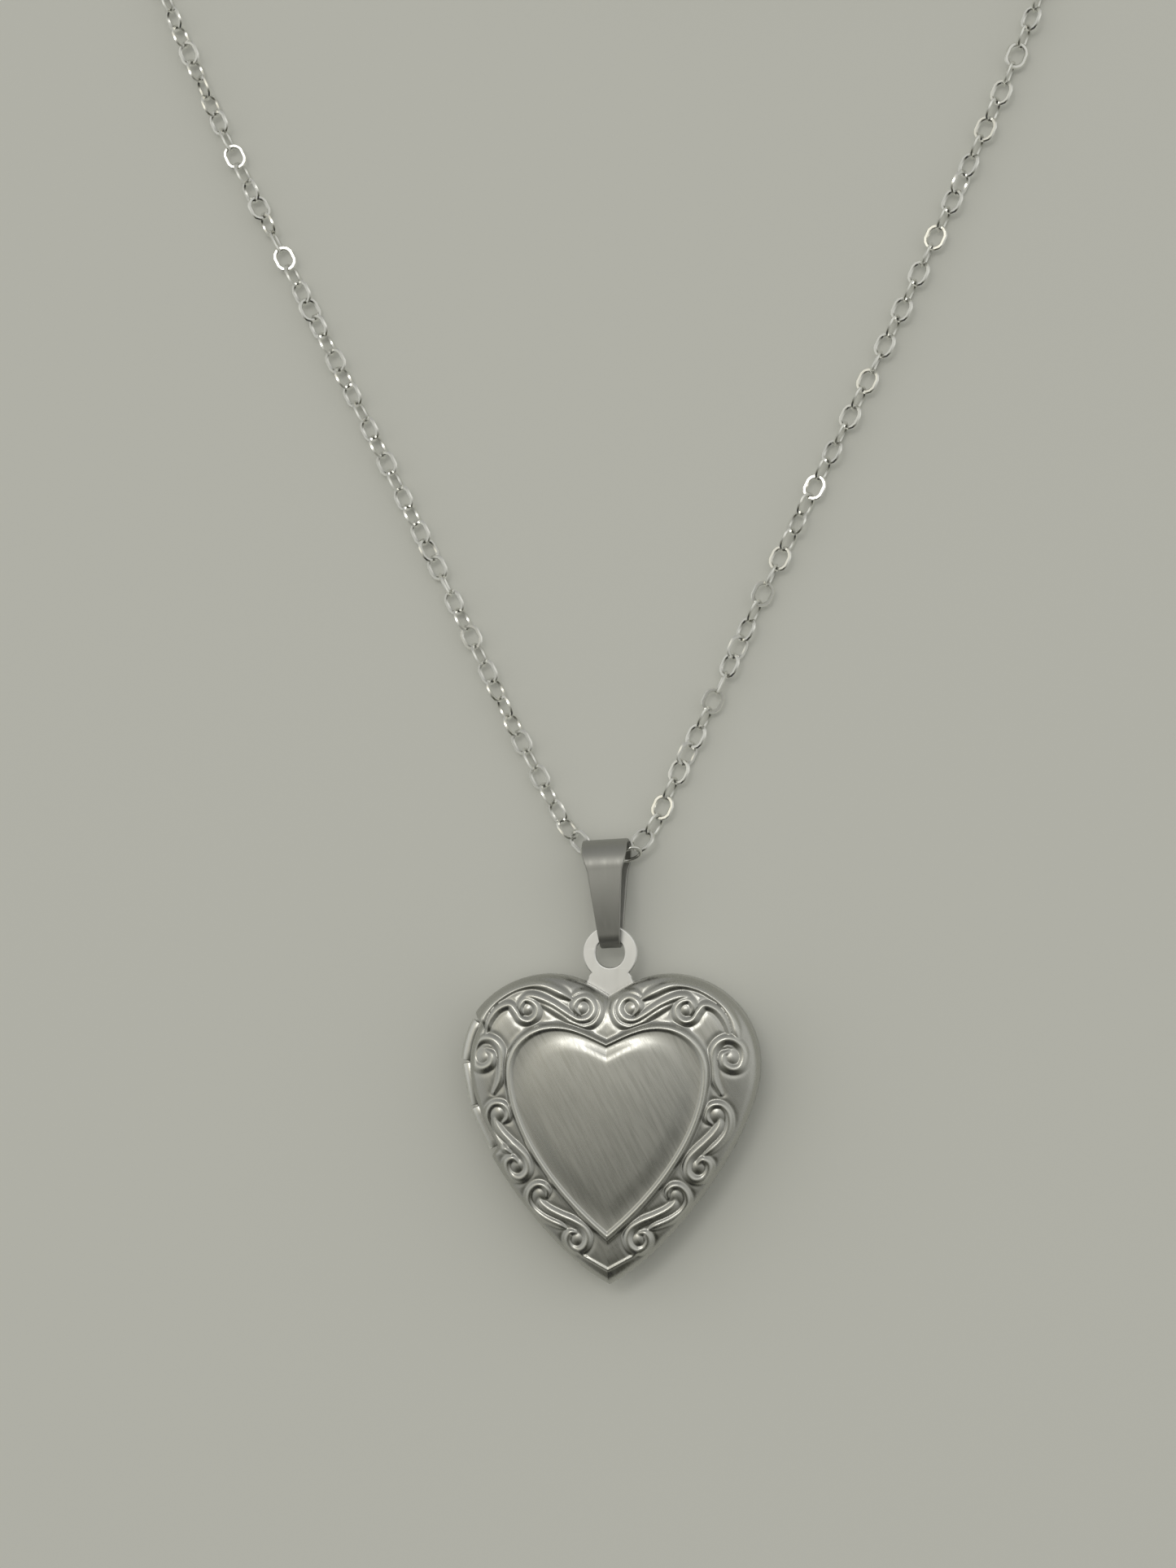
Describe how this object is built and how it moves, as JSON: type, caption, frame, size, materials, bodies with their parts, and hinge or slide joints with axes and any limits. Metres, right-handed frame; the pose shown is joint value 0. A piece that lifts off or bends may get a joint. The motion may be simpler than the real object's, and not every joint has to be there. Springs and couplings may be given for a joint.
{
  "type": "heart locket necklace",
  "caption": "Hinged heart locket with a scrolled border and a plain raised panel, hung from a folded bail on a fine cable chain with a trigger clasp.",
  "frame": {"origin": "middle of the locket and bail, seen from above, on the flat of the rear cover", "axes": "+Y from the heart's point to its bail, +Z out of the scrolled front cover, +X to the right with the front cover up"},
  "size_m": [0.0928, 0.1555, 0.007],
  "materials": {
    "stainless_steel": "satin",
    "satin_steel": "satin",
    "blank_card": "matte",
    "clear_film": "gloss"
  },
  "bodies": {
    "chain": {"bail_link_1": "stainless_steel", "bail_link_2": "stainless_steel", "bail_link_3": "stainless_steel", "chain_left": "stainless_steel", "chain_right": "stainless_steel", "chain_coil": "stainless_steel", "chain_tail_left": "stainless_steel", "chain_tail_right": "stainless_steel", "clasp_ring": "stainless_steel", "end_ring": "stainless_steel", "clasp_body": "stainless_steel", "clasp_pin": "stainless_steel", "clasp_spring": "stainless_steel"},
    "bail": {"bail": "satin_steel"},
    "rear_half": {"rear_cover": "stainless_steel", "rear_frame": "satin_steel", "rear_photo_rim": "satin_steel", "rear_photo": "blank_card", "rear_film": "clear_film", "rear_knuckle_upper": "satin_steel", "rear_knuckle_lower": "satin_steel", "hinge_pin": "stainless_steel"},
    "front_half": {"front_cover": "stainless_steel", "front_frame": "satin_steel", "front_photo_rim": "satin_steel", "front_photo": "blank_card", "front_film": "clear_film", "front_knuckle": "satin_steel"},
    "lever": {"clasp_lever": "stainless_steel"}
  },
  "joints": [
    {"name": "bail_swing", "type": "hinge", "parent": "chain", "child": "bail", "pos_m": [-0.00033, 0.01833, 0.00255], "axis": [-0.9986, -0.0523, 0], "range_deg": [0, 60]},
    {"name": "locket_swing", "type": "hinge", "parent": "bail", "child": "rear_half", "pos_m": [0, 0.01207, 0.00302], "axis": [-1, 0, 0], "range_deg": [0, 90]},
    {"name": "cover_open", "type": "hinge", "parent": "rear_half", "child": "front_half", "pos_m": [-0.01303, -0.00214, 0.0035], "axis": [0.1932, -0.9811, 0], "range_deg": [0, 150]},
    {"name": "lever_open", "type": "hinge", "parent": "chain", "child": "lever", "pos_m": [0.03141, 0.11879, 0.0013], "axis": [0, 0, -1], "range_deg": [0, 25], "stiffness_Nm_per_rad": 0.005, "springref_deg": -9.74}
  ]
}
